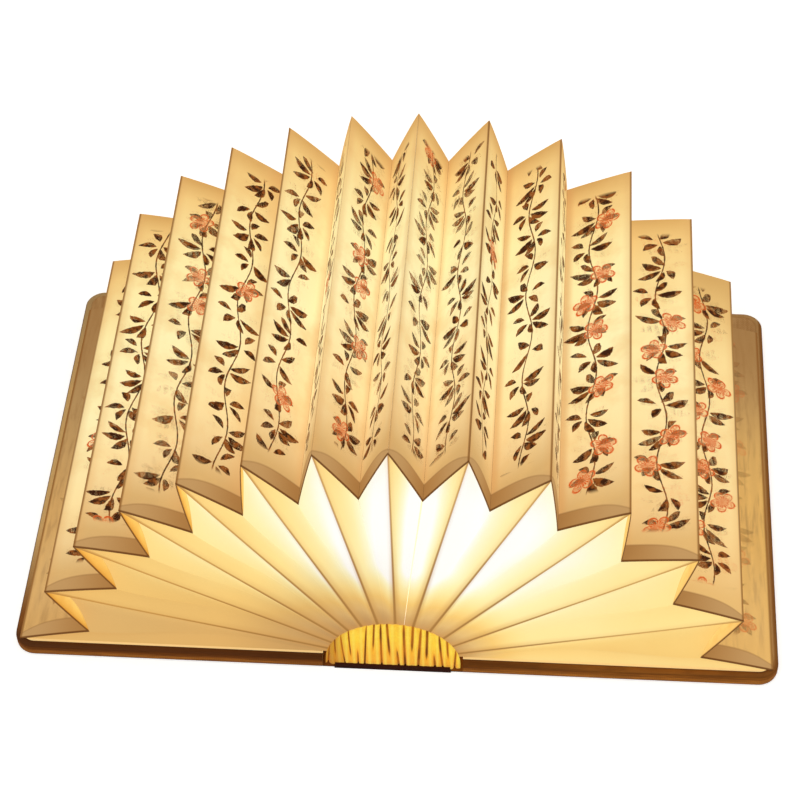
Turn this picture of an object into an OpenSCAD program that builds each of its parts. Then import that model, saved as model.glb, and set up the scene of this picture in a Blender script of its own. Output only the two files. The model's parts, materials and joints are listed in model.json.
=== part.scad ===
// Folding book lamp: two hard covers on a soft spine carry a pleated paper shade.
// The shade fans out over a half circle when the book lies open and folds flat when it shuts.
// +Z is up, X runs across both covers, Y runs along the spine, and the front end is at -Y.
// The origin is under the middle of the spine, on the surface that the open book lies on.

/* [Covers] */
// Length of the covers along the spine
cover_len = 215; // [200:1:240]
// Reach of each cover from the middle of the spine
cover_reach = 166; // [164:1:180]
// Thickness of the cover boards
board_t = 4.8; // [3:0.2:6]
// Thickness of the covering cloth
cloth_t = 0.8; // [0.5:0.1:1.2]
// Thickness of the endpapers
endpaper_t = 0.5; // [0.3:0.1:0.8]
// Width of the cloth turned in around an endpaper
turn_in = 3.2; // [2:0.2:6]
// Radius of the covers' outer corners
corner_r = 9; // [3:1:14]

/* [Spine] */
// Thickness of the hollow spine board
spine_t = 4.6; // [4.4:0.1:5]
// Gap from a cover's hinge line to the edge of its board
joint_gap = 5; // [5:0.2:7]
// Height of the cloth turned up over the front end of the spine
spine_lip = 3; // [2:0.2:4]

/* [Paper shade] */
// How far the covers stand beyond the pages at the front end
front_square = 4; // [3.6:0.1:8]
// How far the covers stand beyond the pages at the rear end
rear_square = 13; // [12:0.5:20]
// Reach of a page from its root to its mountain fold
page_reach = 135; // [125:1:136]
// Half the width over which the page roots are spread
root_spread = 17; // [15:0.5:18]
// Width of each leaf between its mountain and valley folds
leaf_w = 31.5; // [28:0.5:33]
// Thickness of the double paper of a leaf
leaf_t = 0.4; // [0.3:0.1:0.5]
// Thickness of the end gussets
gusset_t = 0.4; // [0.3:0.1:0.5]
// Spread of the page angles along the fan, in degrees
spread_angle = 63; // [58:1:65]
// Extra spread towards the covers, in degrees
bunch_angle = 12; // [8:1:14]
// Lean of the top of the fan to the left, in degrees
lean_angle = 6; // [0:1:6]
// How far a gusset is set back from the leaves' front edges
lens_depth = 8; // [4:1:10]
// How deep a gusset dips between two pages
gusset_dip = 5; // [2:1:7]
// Margin from a fore edge to the paper's fold on the cover
fold_margin = 3.5; // [3.4:0.1:6]

/* [Headbands] */
// Height of the gathered headbands above the spine
band_rise = 24; // [16:1:26]
// Thickness of a headband
band_t = 3.4; // [2.6:0.1:3.6]
// Number of gathers across a headband
gathers = 20; // [14:1:24]
// Depth of a gather
gather_depth = 0.9; // [0.4:0.1:1.2]

/* [Light core] */
// Width of the core tray
tray_w = 26; // [24:1:28]
// Height of the core tray
tray_h = 7.6; // [7:0.2:9]
// Wall of the core tray
tray_wall = 1.5; // [1.2:0.1:2]
// Outer radius of the half-round diffuser
diffuser_r = 12; // [10:0.5:12.5]
// Wall of the diffuser
diffuser_wall = 1.2; // [1:0.1:1.6]
// Gap between the diffuser's ends and the ends of the pages
diffuser_inset = 7; // [6:1:14]
// Thickness of the light board
led_board_t = 1.6; // [1:0.1:2]
// Number of light-emitting diodes
leds_n = 14; // [8:1:20]
// Size of one diode: along X, along Y, height
led_size = [3.5, 2.8, 1.6];
// Size of the battery: width, length, height
battery_size = [21, 60, 5.2];
// Place of the battery's front end along the spine
battery_y = -70; // [-80:1:-50]
// Radius of the reed switch
reed_r = 1; // [0.8:0.1:1.2]
// Length of the reed switch
reed_len = 14; // [10:1:18]
// Place of the reed switch and the magnet along the spine
reed_y = 40; // [30:1:60]
// Radius of the magnet that works the reed switch
magnet_r = 4; // [3:0.5:5]
// Thickness of the magnet
magnet_t = 2; // [1.5:0.5:2.5]
// Board left between the magnet and the cover board's inner edge
magnet_edge = 0.6; // [0.4:0.1:2]
// Shaft radius of the tray screws
screw_r = 0.95; // [0.8:0.05:1.1]
// Head radius of the tray screws
screw_head_r = 1.9; // [1.6:0.1:2.2]
// Head height of the tray screws
screw_head_h = 1.2; // [1:0.1:1.5]
// Half the distance between the screws across the tray
screw_x = 6; // [5:0.5:8]
// Distance of the front screws from the front end of the tray
screw_inset = 14; // [8:1:20]
// Distance of the rear screws' heads from the inlet's pocket
screw_room = 5; // [3:0.5:10]

/* [Charging inlet] */
// Size of the inlet's metal shell: width, depth, height
inlet_size = [9, 7.3, 3.2];
// Wall of the inlet's metal shell
inlet_wall = 0.3; // [0.25:0.05:0.35]
// Size of the charging board: width, length, thickness
charger_size = [14, 18, 0.8];
// Roof and floor of the pocket that holds the inlet
pocket_wall = 0.4; // [0.3:0.1:0.5]
// Room for the wires in front of the charging board
pocket_room = 3; // [2:0.5:5]
// Size of the slot for the wires, from the pocket up into the tray: along X, along Y
slot_size = [6, 5];

/* [Hidden] */
pages = 12;
fine = 48;
seat_gap = 0.3;
fold_gap = 0.1;
valley_gap = 0.7;
hinge_gap = 0.1;
running_gap = 0.1;
cut = 1;
columns = 3;
rows = [0, 0.12, 0.37, 0.68, 1];

cover_top = cloth_t + board_t + endpaper_t;
spine_top = cloth_t + spine_t;
root_z = spine_top + seat_gap;
root_pitch = 2 * root_spread / (pages - 1);
hinge_x = root_spread + root_pitch + board_t + endpaper_t;
cover_start = hinge_x + joint_gap;
spine_half = hinge_x - 0.4;
page_front = -cover_len / 2 + front_square;
page_rear = cover_len / 2 - rear_square;
fold_x = cover_reach - fold_margin;
end_room = gusset_t + seat_gap + 1;
tray_front = page_front + end_room;
tray_rear = page_rear - end_room;
tray_top = spine_top + tray_h;
board_top = tray_top + led_board_t;
diffuser_front = page_front + diffuser_inset;
diffuser_rear = page_rear - diffuser_inset;
band_gap = 0.2;
band_half = cover_start - cloth_t;
band_seat = spine_top + running_gap;
magnet_x = cover_start + magnet_r + magnet_edge;
pocket_len = charger_size[1] + pocket_room;
pocket_h = spine_t - 2 * pocket_wall;
pocket_front = cover_len / 2 - cloth_t - pocket_len;

function page_name(i) = str("page_", i < 10 ? "0" : "", i);

// ---- Plan of the fan, as points [x, z] across the spine ----

// Place of page i along the fan, from -1 at the left to 1 at the right
function along_fan(i) = (2 * i - pages - 1) / (pages - 1);

// Angle of page i above the left side of the table; 0 and pages + 1 are the covers
function page_angle(i) =
    i == 0 ? 0 :
    i == pages + 1 ? 180 :
    let (s = along_fan(i)) 90 + spread_angle * s + bunch_angle * pow(s, 3) - lean_angle * (1 - s * s);

function outward(i) = [-cos(page_angle(i)), sin(page_angle(i))];

// Unit vector from page i towards the next page on one side, -1 left or 1 right
function sideways(i, side) = side * [sin(page_angle(i)), cos(page_angle(i))];

function root(i) =
    i == 0 ? [-cover_start - seat_gap, cover_top + seat_gap] :
    i == pages + 1 ? [cover_start + seat_gap, cover_top + seat_gap] :
    [root_spread * along_fan(i), root_z];

function ridge(i) =
    i == 0 ? [-fold_x, cover_top] :
    i == pages + 1 ? [fold_x, cover_top] :
    root(i) + page_reach * outward(i);

function unit(v) = v / norm(v);

// The valley fold of pocket k, between pages k and k + 1, is leaf_w from both ridges
function valley(k) =
    let (a = ridge(k), b = ridge(k + 1), across = unit(b - a), half = norm(b - a) / 2)
    (a + b) / 2 + [across[1], -across[0]] * sqrt(leaf_w * leaf_w - half * half);

function valley_root(k) = (root(k) + root(k + 1)) / 2;

// The pocket on one side of page i
function pocket(i, side) = side > 0 ? i : i - 1;

// Angle between page i and the leaf on one side of it
function leaf_angle(i, side) = acos(-unit(valley(pocket(i, side)) - ridge(i)) * outward(i));

// Outline of the leaf on one side of page i, mitred at both folds
function leaf_outline(i, side) =
    let (
        top = ridge(i),
        other = ridge(i + side),
        low = valley(pocket(i, side)),
        n = sideways(i, side),
        e = unit(low - top),
        away = unit(other - top),
        half = norm(other - top) / 2,
        outside = unit(away - (away * e) * e),
        sin_half = half / leaf_w,
        cos_half = sqrt(1 - sin_half * sin_half),
        start = top + n * fold_gap,
        reach = half - valley_gap - fold_gap * abs(n * away)
    )
    [
        start,
        start + e * reach / sin_half,
        start + outside * leaf_t + e * (reach - leaf_t * cos_half) / sin_half,
        start + outward(i) * leaf_t / sin(leaf_angle(i, side))
    ];

// ---- Helpers ----

// A flat outline [x, z] drawn out along Y
module along_spine(front, rear) {
    translate([0, rear, 0]) rotate([90, 0, 0]) linear_extrude(rear - front) children();
}

module box(low, high) {
    translate(low) cube(high - low);
}

// A closed plate from two grids of points, each with nu + 1 by nv + 1 points
module plate(front, back, nu, nv) {
    n = (nu + 1) * (nv + 1);
    function at(a, b) = a * (nv + 1) + b;
    quads = [for (a = [0 : nu - 1], b = [0 : nv - 1]) [at(a, b), at(a + 1, b), at(a + 1, b + 1), at(a, b + 1)]];
    rim = concat(
        [for (a = [0 : nu]) at(a, 0)],
        [for (b = [1 : nv]) at(nu, b)],
        [for (a = [nu - 1 : -1 : 0]) at(a, nv)],
        [for (b = [nv - 1 : -1 : 1]) at(0, b)]
    );
    m = len(rim);
    faces = concat(
        [for (q = quads) for (t = [[q[0], q[1], q[2]], [q[0], q[2], q[3]]]) t],
        [for (q = quads) for (t = [[q[2], q[1], q[0]], [q[3], q[2], q[0]]]) [for (p = t) p + n]],
        [for (k = [0 : m - 1]) let (p = rim[k], q = rim[(k + 1) % m])
            for (t = [[q, p, p + n], [q, p + n, q + n]]) t]
    );
    polyhedron(points = concat(front, back), faces = faces, convexity = 4);
}

// ---- Covers: side is -1 for the left cover and 1 for the right one ----

// Outline of a cover, inset from its outer edges, from an inner edge at x = from
module cover_outline(side, inset, from) {
    half = cover_len / 2 - inset;
    far = cover_reach - inset;
    r = corner_r - min(inset, corner_r - 1);
    scale([side, 1]) union() {
        translate([from, -half]) square([far - r - from, 2 * half]);
        translate([from, -half + r]) square([far - from, 2 * half - 2 * r]);
        for (y = [-half + r, half - r]) translate([far - r, y]) circle(r, $fn = fine);
    }
}

module slab(side, inset, from, low, high) {
    translate([0, 0, low]) linear_extrude(high - low) cover_outline(side, inset, from);
}

module cover_board(side) {
    color("tan") difference() {
        slab(side, cloth_t, cover_start, cloth_t, cloth_t + board_t);
        if (side < 0) magnet_disc(running_gap);
    }
}

module cover_cloth(side) {
    color("saddlebrown") union() {
        difference() {
            slab(side, 0, cover_start, cloth_t, cover_top);
            slab(side, cloth_t, cover_start - cut, cloth_t - cut, cloth_t + board_t);
            slab(side, turn_in, cover_start - cut, cloth_t, cover_top + cut);
        }
        slab(side, 0, hinge_x + hinge_gap, 0, cloth_t);
    }
}

module endpaper(side) {
    color("wheat") slab(side, turn_in, cover_start, cloth_t + board_t, cover_top);
}

module magnet_disc(extra) {
    translate([-magnet_x, reed_y, cloth_t + board_t - magnet_t - extra])
        cylinder(h = magnet_t + 2 * extra, r = magnet_r + extra, $fn = fine);
}

module switch_magnet() {
    color("silver") magnet_disc(0);
}

// ---- Paper shade ----

module leaf(i, side) {
    color("wheat") along_spine(page_front, page_rear) polygon(leaf_outline(i, side));
}

// How far a gusset lies behind the pages' end, u across from page to valley, v up from the root
function set_back(u, v) =
    lens_depth * 4 * u * (1 - u) * pow(v, 5)
    + gusset_dip * pow(sin(90 * u) * sin(180 * v), 2);

// Point [x, z] of the gusset on page i, u from -1 at its left valley to 1 at its right one
function gusset_point(i, u, v) =
    let (
        side = u < 0 ? -1 : 1,
        k = pocket(i, side),
        w = abs(u),
        lift = i == 0 ? [0, seat_gap] : [0, 0],
        drop = i == 0 ? 2 * seat_gap / tan(leaf_angle(i, side)) : 2 * leaf_t,
        top = ridge(i) - outward(i) * drop + lift,
        low = valley(k) + unit(valley_root(k) - valley(k)) * 1.5 * leaf_t,
        a = root(i) + v * (top - root(i)),
        b = valley_root(k) + v * (low - valley_root(k)),
        span = norm(b - a),
        share = w * (1 - 0.8 * seat_gap / span)
    )
    a + (b - a) * share;

// The gusset at one end of page i: end is -1 at the front and 1 at the rear
module end_gusset(i, end, first, last) {
    us = [for (c = [first : last]) c / columns];
    skin = end < 0 ? page_front + seat_gap : page_rear - seat_gap;
    function layer(depth) = [for (u = us, v = rows)
        let (p = gusset_point(i, u, v)) [p[0], skin - end * (set_back(abs(u), v) + depth), p[1]]];
    if (end < 0) plate(layer(0), layer(gusset_t), len(us) - 1, len(rows) - 1);
    else plate(layer(gusset_t), layer(0), len(us) - 1, len(rows) - 1);
}

// The gussets at both ends of page i; page 0 is the left cover, which has one side only
module page_gusset(i) {
    first = i == 0 ? 0 : -columns;
    color("moccasin") for (end = [-1, 1]) end_gusset(i, end, first, columns);
}

// ---- Spine ----

module spine_board() {
    color("dimgray") difference() {
        box([-spine_half, page_front + seat_gap, cloth_t], [spine_half, cover_len / 2 - cloth_t, spine_top]);
        box([-charger_size[0] / 2 - running_gap, pocket_front, cloth_t + pocket_wall],
            [charger_size[0] / 2 + running_gap, cover_len / 2 + cut, cloth_t + pocket_wall + pocket_h]);
        wire_slot();
        screw_holes();
    }
}

module spine_cloth() {
    half = hinge_x - hinge_gap;
    front = -cover_len / 2;
    color("saddlebrown") difference() {
        union() {
            box([-half, front, 0], [half, -front, cloth_t]);
            box([-spine_half, front, 0], [spine_half, front + cloth_t, spine_lip]);
            box([-spine_half, -front - cloth_t, 0], [spine_half, -front, spine_top]);
        }
        box([-inlet_size[0] / 2 - seat_gap, -front - cloth_t - cut, cloth_t + pocket_wall],
            [inlet_size[0] / 2 + seat_gap, -front + cut, spine_top + cut]);
    }
}

// ---- Light core ----

module wire_slot() {
    front = pocket_front + running_gap;
    box([-slot_size[0] / 2, front, cloth_t + pocket_wall + pocket_h - cut],
        [slot_size[0] / 2, front + slot_size[1], spine_top + tray_wall + cut]);
}

module at_screws() {
    for (x = [-screw_x, screw_x], y = [tray_front + screw_inset, pocket_front - screw_room - screw_head_r])
        translate([x, y, spine_top + tray_wall]) children();
}

module screw_holes() {
    at_screws() translate([0, 0, -tray_wall - spine_t + pocket_wall])
        cylinder(h = tray_wall + spine_t + cut, r = screw_r + running_gap, $fn = fine);
}

module tray_screws() {
    color("silver") at_screws() {
        cylinder(h = screw_head_h, r = screw_head_r, $fn = fine);
        translate([0, 0, -tray_wall - spine_t + 2 * pocket_wall])
            cylinder(h = tray_wall + spine_t, r = screw_r, $fn = fine);
    }
}

module core_tray() {
    color("white") difference() {
        box([-tray_w / 2, tray_front, spine_top], [tray_w / 2, tray_rear, tray_top]);
        box([-tray_w / 2 + tray_wall, tray_front + tray_wall, spine_top + tray_wall],
            [tray_w / 2 - tray_wall, tray_rear - tray_wall, tray_top + cut]);
        wire_slot();
        screw_holes();
    }
}

module battery() {
    floor_z = spine_top + tray_wall;
    color("steelblue") box([-battery_size[0] / 2, battery_y, floor_z],
        [battery_size[0] / 2, battery_y + battery_size[1], floor_z + battery_size[2]]);
}

module reed_switch() {
    color("lightcyan")
        translate([-tray_w / 2 + tray_wall + reed_r, reed_y - reed_len / 2, spine_top + tray_wall + reed_r])
            rotate([-90, 0, 0]) cylinder(h = reed_len, r = reed_r, $fn = fine);
}

module light_board() {
    color("white") box([-tray_w / 2, tray_front, tray_top], [tray_w / 2, tray_rear, board_top]);
}

module light_diodes() {
    pitch = (diffuser_rear - diffuser_front) / leds_n;
    color("khaki") for (k = [0 : leds_n - 1])
        translate([-led_size[0] / 2, diffuser_front + pitch * (k + 0.5) - led_size[1] / 2, board_top])
            cube(led_size);
}

module diffuser() {
    color("ivory") difference() {
        half_round(diffuser_r, diffuser_front, diffuser_rear);
        half_round(diffuser_r - diffuser_wall, diffuser_front + diffuser_wall, diffuser_rear - diffuser_wall);
    }
}

// Half a cylinder along the spine, standing on the light board
module half_round(r, front, rear) {
    translate([0, 0, board_top]) difference() {
        along_spine(front, rear) circle(r, $fn = fine);
        box([-r - cut, front - cut, -r - cut], [r + cut, rear + cut, 0]);
    }
}

// ---- Charging inlet in the rear end of the spine ----

module inlet_space(extra) {
    mid_z = cloth_t + spine_t / 2;
    w = inlet_size[0] / 2 + extra;
    h = inlet_size[2] / 2 + extra;
    box([-w, cover_len / 2 - inlet_size[1] - extra, mid_z - h], [w, cover_len / 2, mid_z + h]);
}

module charging_inlet() {
    color("silver") difference() {
        inlet_space(0);
        translate([0, cut, 0]) inlet_space(-inlet_wall);
    }
}

module charging_board() {
    low = cloth_t + pocket_wall + 0.8;
    rear = cover_len / 2 - cloth_t - seat_gap;
    color("green") difference() {
        box([-charger_size[0] / 2, rear - charger_size[1], low], [charger_size[0] / 2, rear, low + charger_size[2]]);
        inlet_space(running_gap);
    }
}

// ---- Gathered headbands over the ends of the paper ----

// low is the underside near the middle, edge_low is the underside past the spine
module headband(outer_y, low, edge_low, end) {
    n = 2 * gathers;
    heights = [0, 0.3, 0.6, 0.85, 1];
    xs = [for (c = [0 : n]) band_half * 0.99 * (2 * c / n - 1)];
    function foot(x) = abs(x) < spine_half ? low : edge_low;
    function crown(x) = band_seat + band_rise * sqrt(1 - pow(x / band_half, 2)) - 0.5;
    function height(x, v) = foot(x) + v * max(crown(x) - foot(x), 1);
    function front_y(c, v) = outer_y - end * ((c % 2) * gather_depth + 0.8 * v * v);
    skin = [for (c = [0 : n], v = heights) [xs[c], front_y(c, v), height(xs[c], v)]];
    inner = [for (c = [0 : n], v = heights) [xs[c], outer_y - end * band_t, height(xs[c], v)]];
    color("goldenrod") if (end < 0) plate(skin, inner, n, len(heights) - 1);
    else plate(inner, skin, n, len(heights) - 1);
}

module front_headband() {
    headband(page_front - band_gap - band_t, spine_lip + running_gap, cloth_t + running_gap, -1);
}

module rear_headband() {
    headband(page_rear + band_gap + band_t, band_seat, band_seat, 1);
}

// ---- The named pieces ----

spine_board();
spine_cloth();
core_tray();
battery();
charging_board();
charging_inlet();
light_board();
light_diodes();
diffuser();
reed_switch();
tray_screws();
front_headband();
rear_headband();
switch_magnet();
cover_board(-1);  // left_cover_board
cover_cloth(-1);  // left_cover_cloth
endpaper(-1);  // left_endpaper
leaf(0, 1);  // left_cover_leaf
page_gusset(0);  // left_cover_gusset
cover_board(1);  // right_cover_board
cover_cloth(1);  // right_cover_cloth
endpaper(1);  // right_endpaper
leaf(pages + 1, -1);  // right_cover_leaf
mirror([1, 0, 0]) page_gusset(0);  // right_cover_gusset
for (i = [1 : pages]) {
    page_gusset(i);
    leaf(i, -1);
    leaf(i, 1);
}
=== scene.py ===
"""Looks of the folding book lamp: paper shade, gathered headbands, cloth covers, light and camera."""
import json
import math

import bpy
import numpy as np
from mathutils import Matrix, Vector

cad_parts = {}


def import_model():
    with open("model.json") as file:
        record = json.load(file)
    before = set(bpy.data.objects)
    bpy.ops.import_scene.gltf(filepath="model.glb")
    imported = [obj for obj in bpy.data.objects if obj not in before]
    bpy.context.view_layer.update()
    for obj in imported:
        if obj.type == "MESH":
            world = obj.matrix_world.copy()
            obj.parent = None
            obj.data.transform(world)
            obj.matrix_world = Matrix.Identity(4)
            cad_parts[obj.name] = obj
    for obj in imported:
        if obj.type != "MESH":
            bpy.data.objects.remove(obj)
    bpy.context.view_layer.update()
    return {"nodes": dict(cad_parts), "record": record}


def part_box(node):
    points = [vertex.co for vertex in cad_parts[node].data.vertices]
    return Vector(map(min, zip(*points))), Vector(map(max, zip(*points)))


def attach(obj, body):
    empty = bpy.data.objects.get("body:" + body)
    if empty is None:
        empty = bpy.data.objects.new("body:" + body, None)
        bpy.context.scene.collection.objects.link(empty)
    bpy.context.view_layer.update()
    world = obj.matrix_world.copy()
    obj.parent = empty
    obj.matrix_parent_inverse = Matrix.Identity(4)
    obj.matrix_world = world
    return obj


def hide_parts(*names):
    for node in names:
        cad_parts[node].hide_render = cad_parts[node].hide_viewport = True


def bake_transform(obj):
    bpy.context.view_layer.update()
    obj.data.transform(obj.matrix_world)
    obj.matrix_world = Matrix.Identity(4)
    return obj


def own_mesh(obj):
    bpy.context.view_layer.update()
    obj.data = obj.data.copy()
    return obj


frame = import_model()
MM = 0.001

# ---- Camera, found by lining up the fold tips and cover corners ----
AZIMUTH, ELEVATION, ROLL = 5.107, 48.688, -1.742
DISTANCE = 1.0329
FOCAL_PX = 2314.5
IMAGE_PX = 800
SENSOR = 36.0
TARGET = Vector((-2.8, 0.0, 55.1)) * MM

# ---- Fan, read from the frame; pages run from 1 to PAGES, and 0 and PAGES + 1 are the covers ----
PAGES = 12
LEFT_PAGES = 7          # how many of them follow the left cover
MIDDLE_PAGE = (PAGES + 1) / 2
COVERS = {0: "left_cover", PAGES + 1: "right_cover"}
SIDE_WORD = {-1: "left", 1: "right"}
END_WORD = {-1: "front", 1: "rear"}
JOINTS = {joint["name"]: joint for joint in frame["record"]["behaviour"]["joints"]}


def joint_point(name):
    """The [x, z] of a hinge, in millimetres."""
    x, _, z = JOINTS[name]["pos_m"]
    return np.array([x, z]) / MM


def box_mm(node):
    """A node's lowest and highest corner, in millimetres."""
    return [np.array(corner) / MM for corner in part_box(node)]


def page_body(i):
    """The body that a page's gussets ride on."""
    return COVERS.get(i, f"page_{i:02d}")


def leaf_name(i, side):
    """The node of the leaf on one side of a page; a cover has only one."""
    return page_body(i) + ("_leaf" if i in COVERS else f"_{SIDE_WORD[side]}_leaf")


def unit(v):
    """A vector of the same direction, one long."""
    return v / np.linalg.norm(v)


LEAF_LOW, LEAF_HIGH = box_mm(leaf_name(6, -1))
PAGE_FRONT, PAGE_REAR = LEAF_LOW[1], LEAF_HIGH[1]
PAGE_END = {-1: PAGE_FRONT, 1: PAGE_REAR}
PAGE_LENGTH = PAGE_REAR - PAGE_FRONT
COVER_LOW, COVER_HIGH = box_mm("right_cover_cloth")
COVER_START = box_mm("right_cover_board")[0][0]
COVER_TOP = box_mm("right_endpaper")[1][2]
HINGE_X = joint_point("right_cover_fold")[0]
ROOT_GAP = 0.3          # how far the covers' leaves are rooted beyond and above the board
LEAF_WIDTH = 31.5       # from ridge to valley
LEAF_T = 0.38
GUSSET_T = 0.36
LENS_DEPTH = 8.0        # how far a gusset's glued curve lies behind the leaf's end
GUSSET_DIP = 4.6        # how far a gusset sags inwards between its root and its leaf
HEM_WIDTH = 8.2         # the unlit lip at a leaf's front end
HEM_DROP = 0.25         # how far that lip drops
BOW = 0.5               # how far a leaf bows out at its ends
MIDDLE_BOW = 0.35       # share of the bow that is left halfway along
SEAM = 0.03             # half the slit between sheets that meet


def ridge(i):
    """The [x, z] of a page's mountain fold."""
    return joint_point(leaf_name(i, 1) + "_fold")


def root(i):
    """The [x, z] of the line that a page's gussets spread from."""
    if i in COVERS:
        return np.array([(COVER_START + ROOT_GAP) * (-1 if i == 0 else 1), COVER_TOP + ROOT_GAP])
    return joint_point(page_body(i) + "_fold")


RIDGES = [ridge(i) for i in range(PAGES + 2)]
ROOTS = [root(i) for i in range(PAGES + 2)]


def valley(k):
    """The fold between pages k and k + 1, one leaf's width from both ridges."""
    a, b = RIDGES[k], RIDGES[k + 1]
    across = unit(b - a)
    half = np.linalg.norm(b - a) / 2
    return (a + b) / 2 + np.array([across[1], -across[0]]) * math.sqrt(LEAF_WIDTH ** 2 - half ** 2)


VALLEYS = [valley(k) for k in range(PAGES + 1)]
VALLEY_ROOTS = [(ROOTS[k] + ROOTS[k + 1]) / 2 for k in range(PAGES + 1)]
LEAVES = [(i, side) for i in range(PAGES + 2) for side in (-1, 1) if 0 <= i + side <= PAGES + 1]


def pocket(i, side):
    """The number of the valley on one side of a page."""
    return min(i, i + side)


def outward(i):
    """Direction from a page's root to its ridge."""
    return unit(RIDGES[i] - ROOTS[i])


# ---- Meshes ----

NARROWEST_CUT = 10.0    # least width reckoned for a gusset's cut; least width that a sheet is declared with


def added(name, data):
    """A new object in the scene."""
    made = bpy.data.objects.new(name, data)
    bpy.context.collection.objects.link(made)
    return made


def build(name, points, faces, body, materials, attributes, groups=(), sharp=()):
    """One smooth mesh object from points in millimetres.

    groups gives each face's material, and an attribute with fewer values than points repeats them.
    """
    mesh = bpy.data.meshes.new(name)
    mesh.from_pydata([Vector(p) * MM for p in points], [], faces)
    for material in materials:
        mesh.materials.append(material)
    if groups:
        mesh.polygons.foreach_set("material_index", groups)
    for key, values in attributes.items():
        layer = mesh.attributes.new(key, "FLOAT", "POINT")
        layer.data.foreach_set("value", np.resize(np.asarray(values, np.float32), len(points)))
    mesh.shade_smooth()
    marked = {frozenset(edge) for edge in sharp}
    for edge in mesh.edges:
        edge.use_edge_sharp = frozenset(edge.vertices) in marked
    mesh.update()
    piece = added(name, mesh)
    if body:
        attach(piece, body)
    return piece


def closed_sheet(outer, inner, nu, nv, flip=False, side_group=2):
    """Faces, groups and sharp rim edges of a plate between two grids of nu + 1 by nv + 1 points.

    Group 0 is the outer face, 1 the inner one and 2 the rim; side_group is the rim at either end of nu.
    """
    count = (nu + 1) * (nv + 1)

    def at(a, b):
        """A grid point's number."""
        return a * (nv + 1) + b

    quads = [(at(a, b), at(a + 1, b), at(a + 1, b + 1), at(a, b + 1))
             for a in range(nu) for b in range(nv)]
    rim = [at(a, 0) for a in range(nu + 1)] + [at(nu, b) for b in range(1, nv + 1)]
    rim += [at(a, nv) for a in range(nu - 1, -1, -1)] + [at(0, b) for b in range(nv - 1, 0, -1)]
    loop = list(zip(rim, rim[1:] + rim[:1]))
    faces = quads + [tuple(p + count for p in reversed(q)) for q in quads]
    faces += [(q, p, p + count, q + count) for p, q in loop]
    groups = [0] * len(quads) + [1] * len(quads) + ([2] * nu + [side_group] * nv) * 2
    sharp = loop + [(p + count, q + count) for p, q in loop]
    if flip:
        faces = [tuple(reversed(face)) for face in faces]
    return list(outer) + list(inner), faces, groups, sharp


# ---- Materials ----

def rgb(red, green, blue):
    """A colour given as it looks on screen, 0 to 255, turned into Blender's linear values."""
    def linear(value):
        """One channel, by the sRGB curve."""
        share = value / 255
        return share / 12.92 if share <= 0.04045 else ((share + 0.055) / 1.055) ** 2.4
    return (linear(red), linear(green), linear(blue), 1.0)


BLACK = rgb(0, 0, 0)


class Nodes:
    """Short calls that add nodes to one node tree."""

    def __init__(self, tree):
        self.tree = tree

    def put(self, socket, value):
        """Links a socket to an output, or sets it to a plain value."""
        if isinstance(value, bpy.types.NodeSocket):
            self.tree.links.new(value, socket)
        else:
            socket.default_value = value

    def node(self, kind, inputs=(), **settings):
        """A new shader node with its inputs and settings."""
        made = self.tree.nodes.new("ShaderNode" + kind)
        for key, value in settings.items():
            setattr(made, key, value)
        for key, value in dict(inputs).items():
            self.put(made.inputs[key], value)
        return made

    def math(self, operation, *values, clamp=False):
        """A calculation on numbers."""
        made = self.node("Math", enumerate(values), operation=operation, use_clamp=clamp)
        return made.outputs[0]


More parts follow.
